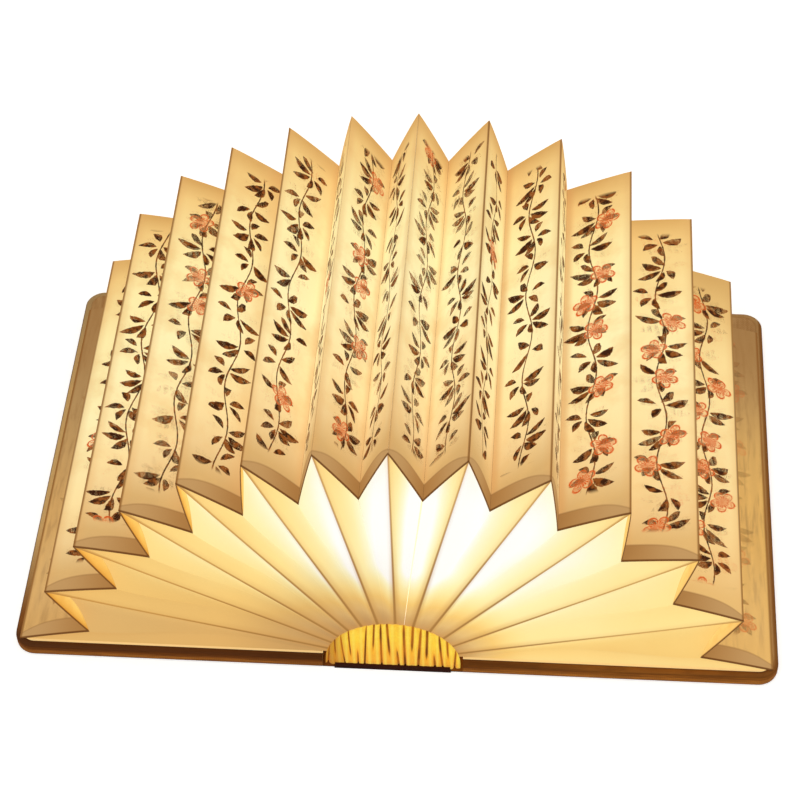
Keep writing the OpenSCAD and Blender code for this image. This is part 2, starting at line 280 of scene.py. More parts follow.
class Graph(Nodes):
    """A material and short calls that build its look."""

    def __init__(self, name, roughness):
        self.material = bpy.data.materials.new(name)
        self.material.use_nodes = True
        super().__init__(self.material.node_tree)
        self.shader = self.tree.nodes["Principled BSDF"]
        self.set("Roughness", roughness)
        # The place on the piece, in millimetres of the shared frame
        self.point = self.vector("MULTIPLY", self.node("TexCoord").outputs["Object"], [1 / MM] * 3)

    def set(self, name, value):
        """Sets or links one input of the shader."""
        self.put(self.shader.inputs[name], value)

    def times(self, a, b):
        """a * b"""
        return self.math("MULTIPLY", a, b)

    def plus(self, a, b):
        """a + b"""
        return self.math("ADD", a, b)

    def minus(self, a, b):
        """a - b"""
        return self.math("SUBTRACT", a, b)

    def line(self, value, slope, start, clamp=False):
        """value * slope + start"""
        return self.math("MULTIPLY_ADD", value, slope, start, clamp=clamp)

    def smooth(self, value, low, high, start=0.0, end=1.0):
        """Goes smoothly from start to end as value goes from low to high."""
        keys = {"Value": value, "From Min": low, "From Max": high, "To Min": start, "To Max": end}
        return self.node("MapRange", keys, interpolation_type="SMOOTHSTEP").outputs["Result"]

    def vector(self, operation, *values):
        """A calculation on vectors."""
        made = self.node("VectorMath", enumerate(values), operation=operation)
        return made.outputs["Value" if operation in ("LENGTH", "DISTANCE") else "Vector"]

    def parts(self, vector):
        """The x, y and z of a vector."""
        return self.node("SeparateXYZ", {0: vector}).outputs

    def value(self, name):
        """A number that the mesh carries at each point."""
        return self.node("Attribute", attribute_name=name).outputs["Fac"]

    def noise(self, scale, detail=3.0, roughness=0.5, fineness=(1.0, 1.0, 1.0)):
        """Random mottle from 0 to 1, drawn out along the axes whose fineness is below 1."""
        point = self.vector("MULTIPLY", self.point, fineness)
        keys = {"Vector": point, "Scale": scale, "Detail": detail, "Roughness": roughness}
        return self.node("TexNoise", keys).outputs["Fac"]

    def mix(self, factor, a, b):
        """The colour a where factor is 0, and b where it is 1."""
        made = self.node("Mix", {0: factor, 6: a, 7: b}, data_type="RGBA", clamp_factor=True)
        return made.outputs[2]

    def ramp(self, factor, *stops):
        """A colour that passes through stops, each a factor and a colour as rgb takes it."""
        made = self.node("ValToRGB", {"Fac": factor})
        elements = made.color_ramp.elements
        while len(elements) < len(stops):
            elements.new(0.5)
        for element, (place, *colour) in zip(elements, stops):
            element.position = place
            element.color = rgb(*colour)
        return made.outputs["Color"]

    def bump(self, height, strength, distance):
        """Fine relief, of a depth in millimetres."""
        made = self.node("Bump", {"Height": height, "Strength": strength, "Distance": distance * MM})
        self.set("Normal", made.outputs["Normal"])

    def lit(self, tone, back_light=0.76, base=0.4):
        """Paper of the tone given, most of which comes through it from the lamp inside."""
        self.set("Base Color", self.mix(1 - base, tone, BLACK))
        self.set("Emission Color", tone)
        self.set("Emission Strength", back_light)
        self.set("Specular IOR Level", 0.1)


def fibres(g):
    """Fine paper tooth with a few long fibres in it."""
    tooth = g.noise(2.4, 4.0, 0.6)
    long_fibres = g.noise(3.2, 2.0, 0.7, fineness=(1.0, 0.16, 1.0))
    return g.line(g.smooth(long_fibres, 0.52, 0.6), 0.5, tooth)


# ---- Ink print: bamboo sprays on a thin stem, and plum blossoms ----

SPRAY_PITCH = 16.5
# Each leaf of a spray: start x, start y, angle in degrees, length, half its width (mm)
SPRAY = ((0.3, 2.4, 34, 9.6, 1.7), (0.7, 0.2, -4, 11.4, 2.05), (0.2, -1.2, -40, 10.4, 1.8),
         (-1.2, -1.4, -96, 7.2, 1.5), (-2.4, 2.8, 150, 7.4, 1.55), (-2.0, -0.6, 200, 8.4, 1.65))
SPRAY_TILT = 35         # most that a spray tilts either way, degrees
STROKE_TILT = 12        # and one of its leaves
STROKE_LEAST, STROKE_MORE = 0.78, 0.3  # shares of a leaf's length, sure and by chance
LEFT_OUT = 1 / 6        # share of a spray's leaves that is left out
STEM_SWAY = 2.2
STEM_HALF = 0.4
STEM_RATE = 0.13        # radians of sway per millimetre
ROW_SHIFT = 5.3         # each page's rows start this much further along
HEART, PETAL_LEAST, PETAL_LOBE = 3.2, 3.0, 3.2
INK_DARK, INK_BROWN, FLOWER_RED = (rgb(*c) for c in ((56, 24, 4), (140, 78, 30), (214, 84, 18)))
LINEN_DARK, LINEN, LINEN_GOLD = (rgb(*c) for c in ((146, 102, 56), (176, 138, 88), (214, 166, 98)))


class Print:
    """The printed motifs of one paper, worked out from the place on its leaf."""

    def __init__(self, g):
        self.g = g
        self.page = g.value("page")
        along = g.line(self.page, ROW_SHIFT, g.value("along"))
        self.row = g.math("FLOOR", g.math("DIVIDE", along, SPRAY_PITCH))
        into_row = g.minus(along, g.times(self.row, SPRAY_PITCH))
        self.y = g.minus(into_row, SPRAY_PITCH / 2)
        flip = g.minus(g.times(g.math("FLOORED_MODULO", self.row, 2.0), 2.0), 1.0)
        sway = g.times(g.math("SINE", g.times(along, STEM_RATE)), STEM_SWAY)
        shift = g.line(g.math("SINE", g.times(self.page, 2.1)), 2.0, sway)
        self.x = g.minus(g.minus(g.value("across"), LEAF_WIDTH * 0.5), shift)
        self.side_x = g.times(self.x, flip)
        self.chance = self.random(0.0)
        rough = g.noise(0.7, 4.0, 0.65)
        self.ragged = g.times(g.minus(rough, 0.5), 1.3)

    def random(self, seed):
        """A value from 0 to 1 that stays the same over one row of one leaf."""
        key = self.g.node("CombineXYZ", {0: self.row, 1: self.page, 2: seed}).outputs[0]
        return self.g.node("TexWhiteNoise", {"Vector": key}, noise_dimensions="3D").outputs["Value"]

    def stroke(self, place, order, x, y, angle, length, half):
        """One pointed brush stroke, unless it is left out."""
        g = self.g
        own = self.random(1.0 + order)
        turn = g.line(own, math.radians(2 * STROKE_TILT), -math.radians(angle + STROKE_TILT))
        run, off, _ = g.parts(self.turned(g.vector("SUBTRACT", place, (x, y, 0.0)), turn))
        t = g.math("DIVIDE", run, g.line(own, length * STROKE_MORE, length * STROKE_LEAST))
        body = g.times(g.times(t, g.minus(1.0, t)), 4.0)
        bent = g.math("ABSOLUTE", g.line(body, half * 0.6, off))
        inside = g.minus(g.times(body, half), bent)
        kept = g.math("GREATER_THAN", own, LEFT_OUT)
        mask = g.line(g.plus(inside, self.ragged), 4.0, 0.3, clamp=True)
        return g.times(mask, kept)

    def turned(self, vector, angle):
        """A vector turned in the plane of the leaf."""
        keys = {"Vector": vector, "Angle": angle}
        return self.g.node("VectorRotate", keys, rotation_type="Z_AXIS").outputs[0]

    def sprays(self):
        """Narrow leaves in sprays, to either side by turns, on one climbing stem."""
        g = self.g
        upright = g.node("CombineXYZ", {0: self.side_x, 1: self.y}).outputs[0]
        tilt = g.line(self.chance, math.radians(2 * SPRAY_TILT), -math.radians(SPRAY_TILT))
        place = self.turned(upright, tilt)
        stem = g.minus(STEM_HALF, g.math("ABSOLUTE", self.x))
        stem = g.plus(stem, g.times(self.ragged, 0.6))
        total = g.line(stem, 4.0, 0.2, clamp=True)
        for order, leaf in enumerate(SPRAY):
            total = g.math("MAXIMUM", total, self.stroke(place, order, *leaf))
        return total

    def blossoms(self, share):
        """Five-petalled flowers, in the share of rows given."""
        g = self.g
        pick = self.random(20.0)
        x = g.plus(self.side_x, g.line(pick, 5.0, 2.6))
        radius = g.math("SQRT", g.plus(g.math("POWER", x, 2.0), g.math("POWER", self.y, 2.0)))
        angle = g.plus(g.math("ARCTAN2", self.y, x), self.chance)
        lobe = g.math("ABSOLUTE", g.math("COSINE", g.times(angle, 2.5)))
        reach = g.line(g.math("POWER", lobe, 0.6), PETAL_LOBE, PETAL_LEAST)
        petal = g.minus(reach, radius)
        fill = g.line(g.plus(petal, self.ragged), 2.5, 0.5, clamp=True)
        rim = g.minus(0.6, g.math("ABSOLUTE", g.minus(petal, 0.6)))
        rim = g.line(rim, 2.5, 0.1, clamp=True)
        rays = g.math("LESS_THAN", g.math("SINE", g.times(angle, 15.0)), 0.0)
        heart = g.times(rays, g.math("LESS_THAN", radius, HEART))
        mottle = g.smooth(g.noise(1.1, 4.0, 0.7), 0.42, 0.62, 0.12, 0.85)
        tone = g.math("MAXIMUM", g.math("MAXIMUM", rim, heart), mottle)
        shown = g.math("LESS_THAN", pick, share)
        return g.times(g.times(fill, tone), shown)


def leaf_tone(g, along, share):
    """Paper lit from inside, its light painted in: brightest along its middle, in painted shade at its
    ends, along its folds and in its valley.
    """
    tone = g.ramp(g.math("DIVIDE", along, PAGE_LENGTH),
                  (0.0, 206, 164, 106), (0.05, 216, 175, 112), (0.13, 240, 206, 146),
                  (0.24, 253, 226, 164), (0.5, 255, 241, 184), (0.74, 254, 236, 172),
                  (0.93, 243, 205, 132), (1.0, 214, 164, 92))
    blotch = g.noise(0.05, 4.0, 0.6)
    tone = g.mix(g.smooth(blotch, 0.42, 0.75, 0.0, 0.45), tone, rgb(232, 188, 118))
    # Painted shade along the folds
    fold = g.math("ABSOLUTE", g.line(share, 2.0, -1.0))
    tone = g.mix(g.smooth(fold, 0.7, 1.0, 0.0, 0.4), tone, rgb(222, 170, 104))
    # Painted shade in the valley, where the next page's ridge hides the leaf
    tuck_start = g.smooth(g.value("page"), 7.0, 9.0, 0.5, 0.84)
    valley_shade = g.times(g.value("tuck"), g.smooth(share, tuck_start, 0.97))
    tone = g.mix(valley_shade, tone, rgb(214, 160, 96))
    # The right-hand pages' painted light is more golden
    return g.mix(g.smooth(g.value("page"), 9.5, 12.5, 0.0, 0.5), tone, rgb(250, 202, 124))


def shaded_linen_tone(g, along):
    """Painted shade of a cover's own leaf, which lies unlit against its cover: golden at the front and
    grey-brown at the far end, with linen-like streaks and grain.
    """
    golden_end = g.smooth(g.value("page"), 5.0, 8.0, 50.0, 85.0)
    gold = g.mix(g.smooth(g.value("page"), 5.0, 8.0), LINEN_GOLD, rgb(226, 176, 94))
    tone = g.mix(g.smooth(g.minus(along, golden_end), 0.0, PAGE_LENGTH * 0.5), gold, LINEN)
    tone = g.mix(g.smooth(along, PAGE_LENGTH * 0.6, PAGE_LENGTH * 0.95, 0.0, 0.6), tone, LINEN_DARK)
    streak = g.noise(0.4, 4.0, 0.6, fineness=(1.0, 0.14, 1.0))
    tone = g.mix(g.smooth(streak, 0.45, 0.7, 0.0, 0.5), tone, LINEN_DARK)
    grain = g.smooth(weave(g, 1.3), 0.2, 1.1, 0.22, 0.0)
    return g.mix(grain, tone, LINEN_DARK)


def front_lip(g, tone, along, share):
    """The lip at the front end lies beyond the glued curve, so no light comes through it."""
    short = g.math("POWER", g.math("SUBTRACT", 1.0, share, clamp=True), 4.0)
    width = g.line(short, -0.7 * HEM_WIDTH, HEM_WIDTH)
    past = g.minus(along, width)
    lip_tone = g.mix(g.smooth(share, 0.15, 1.0), rgb(192, 150, 96), rgb(174, 126, 70))
    tone = g.mix(g.smooth(past, -0.35, 0.35, 1.0, 0.0), tone, lip_tone)
    line = g.smooth(g.math("ABSOLUTE", past), 0.1, 0.7, 0.35, 0.0)
    return g.mix(line, tone, rgb(140, 96, 52))


def printed(g, tone, along, flowers):
    """The tone with the print over it, faded where a cover's own leaf is painted in shade."""
    motifs = Print(g)
    rear = g.smooth(along, PAGE_LENGTH - 12, PAGE_LENGTH - 9, 1.0, 0.0)
    inked = g.times(g.smooth(along, 14.0, 17.0), rear)
    inked = g.times(inked, g.line(g.value("linen"), -0.75, 1.0))
    flower = g.times(motifs.blossoms(flowers), inked)
    spray = g.times(motifs.sprays(), inked)
    spray = g.times(spray, g.line(flower, -0.8, 1.0))
    ink = g.mix(g.smooth(g.noise(0.35, 3.0), 0.42, 0.62), INK_DARK, INK_BROWN)
    return g.mix(spray, g.mix(flower, tone, FLOWER_RED), ink)


def paper_print(flowers):
    """Leaf paper, lit from inside, with its print; flowers is the share of rows with a blossom."""
    g = Graph(f"paper_print_{int(flowers * 100):02d}", 0.75)
    along = g.value("along")
    share = g.math("DIVIDE", g.value("across"), LEAF_WIDTH)
    tone = leaf_tone(g, along, share)
    # Painted shade towards the far end of the rightmost pages
    right_far_shade = g.times(g.smooth(g.value("page"), 10.5, 12.5), 0.6)
    rear = g.times(g.smooth(along, PAGE_LENGTH * 0.7, PAGE_LENGTH), right_far_shade)
    tone = g.mix(rear, tone, rgb(190, 150, 88))
    # A cover's own leaf is painted in shade, with linen-like streaks, where it lies unlit against its
    # cover
    tone = g.mix(g.value("linen"), tone, shaded_linen_tone(g, along))
    tone = front_lip(g, tone, along, share)
    tone = printed(g, tone, along, flowers)
    # Painted shade along each ridge, on pages away from the middle
    from_middle = g.math("ABSOLUTE", g.minus(g.value("page"), MIDDLE_PAGE))
    crest = g.times(g.smooth(share, 0.012, 0.036, 0.85, 0.0), g.smooth(from_middle, 0.5, 1.25))
    tone = g.mix(crest, tone, rgb(138, 90, 40))
    tone = g.mix(g.smooth(along, 0.5, 1.1, 0.9, 0.0), tone, rgb(104, 60, 20))
    g.lit(tone)
    g.bump(fibres(g), 0.25, 0.08)
    return g.material


def paper_inside():
    """The inner side of a leaf, seen past the gussets: deep golden light."""
    g = Graph("paper_inside", 0.75)
    along = g.value("along")
    depth = g.math("MINIMUM", along, g.minus(PAGE_LENGTH, along))
    # Painted light, darker towards the leaf's ends and darkest right at them
    left = g.ramp(g.math("DIVIDE", depth, 10.0), (0.0, 210, 142, 54), (0.22, 238, 182, 84),
                  (0.55, 251, 206, 110), (1.0, 255, 220, 132))
    tone = g.mix(g.smooth(g.value("page"), 6.0, 12.0, 0.0, 0.65), left, rgb(250, 214, 134))
    tone = g.mix(g.smooth(g.noise(0.12, 3.0), 0.4, 0.7, 0.0, 0.3), tone, rgb(224, 160, 66))
    tone = g.mix(g.smooth(depth, 0.4, 0.9, 0.9, 0.0), tone, rgb(112, 62, 14))
    g.lit(tone)
    g.bump(fibres(g), 0.25, 0.08)
    return g.material


def paper_edge():
    """Cut edges of the paper, a mottled brown."""
    g = Graph("paper_edge", 0.8)
    g.set("Base Color", g.mix(g.noise(0.6, 4.0), rgb(134, 86, 36), rgb(168, 118, 60)))
    g.bump(g.noise(3.0, 3.0), 0.4, 0.1)
    return g.material


# Where the gussets shine brightest, from the pages' roots (mm)
HOT_SPOT = (28.0, 0.0, 56.0)


def gusset_heat(g, flat, x, rise, radius):
    """How brightly the gusset is lit, 0 to 1: most high in the fan, least in the lee of a crease."""
    hot = g.smooth(g.vector("DISTANCE", flat, HOT_SPOT), 20.0, 95.0, 0.22, 0.0)
    bright = g.plus(g.line(rise, 0.8, 0.14), hot)
    lee = g.line(hot, 0.5, g.line(rise, 0.16, 0.36))
    wider_right = g.plus(g.value("sweep"), g.smooth(x, -50.0, 60.0, -0.05, 0.12))
    sweep = g.smooth(wider_right, 0.0, 0.85)
    heat = g.plus(lee, g.times(sweep, g.minus(bright, lee)))
    side_lift = g.smooth(x, -50.0, 90.0, -0.07, 0.17)
    heat = g.plus(heat, g.times(side_lift, g.minus(1.0, rise)))
    heat = g.times(heat, g.smooth(radius, 20.0, 62.0, 0.08, 1.0))
    drift = g.line(g.noise(0.03, 3.0), 0.12, -0.06)
    return g.math("ADD", heat, drift, clamp=True)


def gusset_light():
    """Gusset paper, its light painted in: white-hot high in the fan, golden low down, in tan painted
    shade by the covers and the headband and beside each crease, along which runs a dark line.
    """
    g = Graph("gusset_light", 0.75)
    flat = g.vector("MULTIPLY", g.vector("SUBTRACT", g.point, (0.0, 0.0, ROOTS[1][1])), (1.0, 0.0, 1.0))
    radius = g.vector("LENGTH", flat)
    x, _, z = g.parts(flat)
    rise = g.math("DIVIDE", z, radius)
    tone = g.ramp(gusset_heat(g, flat, x, rise, radius),
                  (0.0, 172, 126, 80), (0.2, 230, 190, 122), (0.36, 247, 205, 120),
                  (0.52, 255, 226, 148), (0.7, 255, 240, 178), (0.86, 255, 250, 212),
                  (1.0, 255, 255, 252))
    left = g.smooth(x, -60.0, 30.0, 1.0, 0.0)
    # Painted shade low in the fan by the covers, most on the left
    by_cover = g.smooth(rise, 0.0, 0.12, 0.25, 0.0)
    low = g.line(g.smooth(rise, 0.0, 0.2, 0.45, 0.0), left, by_cover)
    tone = g.mix(low, tone, rgb(214, 172, 104))
    # Painted shade over the lower left of the fan, deeper near the root
    left_shade = g.times(g.smooth(rise, 0.1, 0.7, 0.5, 0.0), left)
    left_shade = g.math("MULTIPLY", left_shade, g.smooth(radius, 40.0, 150.0, 1.6, 1.0), clamp=True)
    tone = g.mix(left_shade, tone, rgb(220, 174, 104))
    # Painted shade near the headband, on the left
    band_shade = g.times(g.smooth(radius, 30.0, 80.0, 0.6, 0.0), left)
    tone = g.mix(band_shade, tone, rgb(176, 134, 86))
    crease = g.value("crease")
    line = g.smooth(crease, 0.15, 0.65, 0.95, 0.0)
    line = g.times(line, g.smooth(radius, 30.0, 130.0, 1.0, 0.8))
    line_tone = g.mix(g.smooth(radius, 30.0, 110.0), rgb(112, 68, 28), rgb(180, 124, 52))
    tone = g.mix(line, tone, line_tone)
    # Painted shade beside each crease
    beside = g.smooth(crease, 0.5, 2.2, 0.5, 0.0)
    beside = g.times(beside, g.smooth(radius, 30.0, 90.0, 1.0, 0.3))
    tone = g.mix(beside, tone, rgb(208, 156, 86))
    g.lit(tone, 0.8, 0.34)
    height = g.plus(fibres(g), g.smooth(crease, 0.0, 0.6, 0.8, 0.0))
    g.bump(height, 0.25, 0.08)
    return g.material


def band_cloth():
    """Golden gathered cloth, orange low down, with a painted highlight on each pleat and brown painted
    shade in its grooves and at its left end.
    """
    g = Graph("band_cloth", 0.5)
    height = g.value("height")
    gold = g.ramp(height, (0.0, 255, 200, 96), (0.1, 247, 178, 54), (0.4, 250, 188, 54),
                  (0.8, 255, 216, 66), (1.0, 250, 208, 70))
    gold = g.mix(g.smooth(g.noise(0.3, 3.0), 0.4, 0.7, 0.0, 0.35), gold, rgb(240, 172, 36))
    # Painted highlight along the middle of each pleat
    gold = g.mix(g.smooth(g.value("pleat"), 0.4, 1.0, 0.0, 0.55), gold, rgb(255, 228, 92))
    x = g.parts(g.point)[0]
    # Painted shade at the left end
    gold = g.mix(g.smooth(x, -27.0, -17.0, 0.75, 0.0), gold, rgb(184, 112, 24))
    # Painted shade in the grooves, darker in places along them
    uneven = g.noise(0.22, 2.0, fineness=(1.0, 0.0, 0.25))
    dark = g.mix(g.smooth(uneven, 0.4, 0.62), rgb(186, 112, 20), rgb(128, 68, 8))
    tone = g.mix(g.smooth(g.value("groove"), 0.1, 0.8), gold, dark)
    g.lit(tone, 0.55, 0.7)
    g.set("Sheen Weight", 0.15)
    threads = g.node("TexWave", {"Vector": g.point, "Scale": 1.1, "Distortion": 1.5, "Detail": 2.0},
                     bands_direction="Z").outputs["Fac"]
    g.bump(g.plus(threads, g.noise(2.5, 3.0)), 0.3, 0.1)
    return g.material


def weave(g, pitch):
    """Crossed threads of book cloth."""
    rate = 2 * math.pi / pitch
    warp, weft, rise = (g.math("SINE", g.times(part, rate)) for part in g.parts(g.point))
    slub = g.noise(1.3, 2.0, fineness=(0.1, 1.0, 1.0))
    return g.plus(g.times(g.times(warp, weft), 0.5), g.line(rise, 0.3, slub))


def cover_cloth():
    """Brown book cloth with painted light and shade up its edge, whose rim glows with painted light on
    the left cover and stays darker on the right one.
    """
    g = Graph("cover_cloth", 0.7)
    threads = weave(g, 0.8)
    x, y, z = g.parts(g.point)
    rise = g.math("DIVIDE", z, COVER_TOP)
    # Painted light and shade up the cloth's edge: dark at its foot, lit a third of the way up and darker
    # towards its top
    base = g.ramp(rise, (0.0, 66, 30, 12), (0.12, 140, 82, 26), (0.3, 222, 142, 58),
                  (0.5, 196, 120, 42), (0.7, 150, 84, 20), (0.9, 104, 54, 10),
                  (1.0, 96, 54, 18))
    base = g.mix(g.smooth(x, -40.0, 130.0, 0.0, 0.28), base, rgb(236, 150, 50))
    streak = g.noise(0.9, 3.0, 0.6, fineness=(0.05, 0.05, 1.4))
    base = g.mix(g.smooth(streak, 0.35, 0.65, 0.0, 0.5), base, rgb(88, 46, 12))
    base = g.mix(g.smooth(threads, 0.0, 1.2, 0.22, 0.0), base, rgb(62, 30, 6))
    behind_front = g.smooth(y, COVER_LOW[1] + 3.5, COVER_LOW[1] + 14.0)
    seam = g.times(g.value("seam"), g.smooth(behind_front, 0.0, 1.0, 0.9, 0.2))
    base = g.mix(seam, base, rgb(78, 38, 8))
    top = g.times(g.smooth(rise, 0.9, 0.97), 0.85)
    from_front = g.line(y, 0.5 / COVER_HIGH[1], 0.5)
    left_rim = g.ramp(from_front, (0.08, 150, 92, 36), (0.3, 246, 204, 136),
                      (0.7, 238, 196, 130), (1.0, 200, 165, 110))
    outermost = g.smooth(x, COVER_HIGH[0] - 2.4, COVER_HIGH[0] - 1.2)
    right_rim = g.mix(outermost, rgb(204, 158, 98), rgb(154, 100, 42))
    rim = g.mix(g.smooth(x, -1.0, 1.0), left_rim, right_rim)
    base = g.mix(g.times(behind_front, top), base, rim)
    g.set("Base Color", base)
    g.set("Specular IOR Level", 0.15)
    g.bump(threads, 0.35, 0.1)
    return g.material


def spine_cloth():
    """Dark book cloth of the strip between the covers."""
    g = Graph("spine_cloth_dark", 0.65)
    threads = weave(g, 0.9)
    g.set("Base Color", g.mix(g.smooth(threads, 0.2, 1.1), rgb(44, 12, 4), rgb(66, 24, 10)))
    g.set("Specular IOR Level", 0.1)
    g.bump(threads, 0.5, 0.12)
    return g.material


def endpaper():
    """Grey-brown lining with a linen grain, and a pale strip in front where the light falls out."""
    g = Graph("endpaper", 0.75)
    grain = weave(g, 1.3)
    streak = g.noise(0.35, 4.0, 0.6, fineness=(1.0, 0.12, 1.0))
    tone = g.mix(g.smooth(grain, 0.2, 1.1), LINEN_DARK, LINEN)
    tone = g.mix(g.smooth(streak, 0.35, 0.7, 0.0, 0.5), tone, rgb(190, 152, 98))
    tone = g.mix(g.smooth(g.noise(0.03, 3.0), 0.4, 0.7, 0.0, 0.4), tone, rgb(132, 98, 58))
    y = g.parts(g.point)[1]
    tone = g.mix(g.smooth(y, PAGE_FRONT + 1.0, PAGE_FRONT + 2.5, 0.9, 0.0), tone, rgb(238, 208, 146))
    g.lit(tone, 0.5, 0.8)
    g.bump(grain, 0.4, 0.1)
    return g.material


def mottled(name, dark, light, scale=0.4, roughness=0.5, metal=0.0, strength=0.2):
    """A moulded, plated or pressed surface with slight variation and grain."""
    g = Graph(name, roughness)
    g.set("Base Color", g.mix(g.noise(scale, 5.0, 0.6), rgb(*dark), rgb(*light)))
    g.set("Metallic", metal)
    g.bump(g.noise(scale * 6, 4.0), strength, 0.05)
    return g.material


def lit_diffuser():
    """Milky plastic that glows evenly."""
    g = Graph("lit_diffuser", 0.35)
    g.lit(g.mix(g.noise(0.2, 3.0), rgb(250, 240, 215), rgb(255, 250, 235)), 0.6, 0.9)
    g.bump(g.noise(3.0, 3.0), 0.15, 0.05)
    return g.material


# ---- Paper leaves ----

LEAF_ROWS = 10
TUCK_SHADE = 0.45       # how dark the painted shade in a leaf's valley is,
NO_TUCK = 1.5           # save on pages this near the middle
# Page 7 sways a fifth of a degree as the left cover closes, so its right side leaves this much room
SWAY_ROOM = 0.5
CREST = 0.6             # how far a ridge's outer line lies out, in paper thicknesses
LEAST_STEP = 0.5        # from there to the outer face's next row
PAGE_QUARTER = 0.25     # tells a page's leaves apart in their page number
LEAF_ENDS = (0.0, 0.006, 0.014, 0.026, 0.042, 0.065, 0.1, 0.16, 0.24, 0.34, 0.44)
LEAF_STEPS = LEAF_ENDS + (0.5,) + tuple(1 - s for s in reversed(LEAF_ENDS))


def leaf_frame(i, side):
    """A leaf's ridge, directions down to its valley and out of the paper, and half its pleat's width."""
    top, other, low = RIDGES[i], RIDGES[i + side], VALLEYS[pocket(i, side)]
    e = unit(low - top)
    away = unit(other - top)
    out = unit(away - (away @ e) * e)
    return top, e, out, np.linalg.norm(other - top) / 2


def end_share(step):
    """1 at the ends of a page, 0 in its middle."""
    return abs(2 * step - 1)


def leaf_rise(u, step):
    """How far the paper bows out of its plane, in millimetres."""
    bow = 4 * u * (1 - u)
    hem = max(0.0, LENS_DEPTH * bow - min(step, 1 - step) * PAGE_LENGTH) / LENS_DEPTH
    return BOW * bow * (MIDDLE_BOW + (1 - MIDDLE_BOW) * end_share(step) ** 3) - HEM_DROP * hem


def leaf_grids(i, side):
    """Outer and inner points, and how far across the leaf they lie."""
    top, e, out, half = leaf_frame(i, side)
    sideways = unit(RIDGES[i + side] - RIDGES[i])
    sin_half = half / LEAF_WIDTH
    cos_half = math.sqrt(1 - sin_half ** 2)
    lean = math.acos(min(1.0, float(-e @ outward(i))))
    reach_in = (half - SEAM) / sin_half
    reach_out = reach_in - LEAF_T * cos_half / sin_half
    crest = top + outward(i) * (CREST * LEAF_T / math.sin(lean)) + sideways * SEAM
    outer, inner, across = [], [], []
    for row in range(LEAF_ROWS + 1):
        u = row / LEAF_ROWS
        for step in LEAF_STEPS:
            y = PAGE_FRONT + step * PAGE_LENGTH
            rise = out * leaf_rise(u, step)
            p = top + sideways * SEAM + e * reach_in * u + rise
            q = crest if row == 0 else top + e * max(LEAST_STEP, reach_out * u) + out * LEAF_T + rise
            inner.append((p[0], y, p[1]))
            outer.append((q[0], y, q[1]))
            across.append(u * LEAF_WIDTH)
    return outer, inner, across


# Share of a page's rows that have a blossom, where it isn't a stray one
FLOWERS = {1: 0.3, 3: 0.15, 6: 0.25, 10: 0.55, 11: 0.4, 12: 0.75, 13: 0.75}
STRAY_FLOWERS = {-1: 0.0, 1: 0.08}
FRONT_PART = 0.35       # share of a page's length that its front part takes
# How far a cover's own leaf is painted in shade, unlit against its cover, with linen-like streaks: at its
# front end, and beyond its front part
SHADED_LINEN_SHARES = {0: (0.65, 0.95), PAGES + 1: (0.45, 0.9)}


def shaded_linen_share(i, step):
    """How far a leaf is painted in shade, unlit against its cover, with linen-like streaks there; pages
    aren't.
    """
    front, rest = SHADED_LINEN_SHARES.get(i, (0.0, 0.0))
    return front + (rest - front) * min(1.0, step / FRONT_PART)


def paper_leaf(i, side, papers, inside, edge):
    """One leaf; papers keeps the print made for each share of blossoms."""
    outer, inner, across = leaf_grids(i, side)
    nv = len(LEAF_STEPS) - 1
    points, faces, groups, sharp = closed_sheet(outer, inner, LEAF_ROWS, nv, flip=side > 0)
    # tuck carries the painted shade in a leaf's valley, and linen the painted shade of a cover's own leaf
    attributes = {"across": across, "page": [i + PAGE_QUARTER * side],
                  "tuck": [TUCK_SHADE * min(1.0, max(0.0, abs(i - MIDDLE_PAGE) - NO_TUCK))],
                  "along": [step * PAGE_LENGTH for step in LEAF_STEPS],
                  "linen": [shaded_linen_share(i, step) for step in LEAF_STEPS]}
    share = FLOWERS.get(i, STRAY_FLOWERS[side])
    if share not in papers:
        papers[share] = paper_print(share)
    name = leaf_name(i, side)
    piece = build(name.replace("leaf", "paper"), points, faces, name,
                  [papers[share], inside, edge], attributes, groups, sharp)
    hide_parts(name)
    if (i, side) == (LEFT_PAGES, 1):
        top, down = leaf_frame(i, side)[:2]
        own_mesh(piece)


# ---- Gussets that close the ends of the shade ----

GUSSET_COLUMNS = 10
GUSSET_ROWS = 26
CREASE_SHARE = 0.012    # first column beside the page's own line
VALLEY_REACH = 0.9992   # how far across a gusset goes
ROOT_LIFT = 20          # how soon the lift of its foot fades upwards
GLUE_LAP = 0.06         # how far its glued edge lies under the leaf's face
COVER_RISE, COVER_INSET = 0.3, 1.3  # where a cover's gusset ends, from the ridge
COVER_CREASE = 3.0      # far enough from a crease to draw none by the covers, which the paper runs into


def set_back(u, v):
    """How far a gusset lies behind the pages' end, u from page to valley and v up from the root."""
    lens = LENS_DEPTH * 4 * u * (1 - u) * v ** 6
    return lens + GUSSET_DIP * math.sin(math.pi / 2 * u) ** 1.3 * math.sin(math.pi * v) ** 2


def gusset_point(i, side, u, v):
    """The [x, z] of a gusset, u from its page to its valley line and v up from the root.

    Its foot is lifted to its page's root, so that it stays above the spine board as the book closes.
    """
    top, e, out, _ = leaf_frame(i, side)
    head = top + e * LEAF_WIDTH * u + out * (leaf_rise(u, 0.0) - GLUE_LAP)
    if i in COVERS:
        head = head + np.array([0.0, COVER_RISE * (1 - u)]) + e * COVER_INSET * (1 - u)
    step = (VALLEY_ROOTS[pocket(i, side)] - ROOTS[i]) * u
    below = min(0.0, float(step @ outward(i)))
    foot = ROOTS[i] + step - outward(i) * below * (1 - v) ** ROOT_LIFT
    return foot + (head - foot) * v


def sweep(i, side, u):
    """0 at the shaded crease of a pocket and 1 at its bright one; the middle pocket is bright between."""
    if pocket(i, side) == LEFT_PAGES:
        return 0.9 * u
    towards_middle = side if i <= LEFT_PAGES else -side
    return u / 2 if towards_middle > 0 else 1 - u / 2


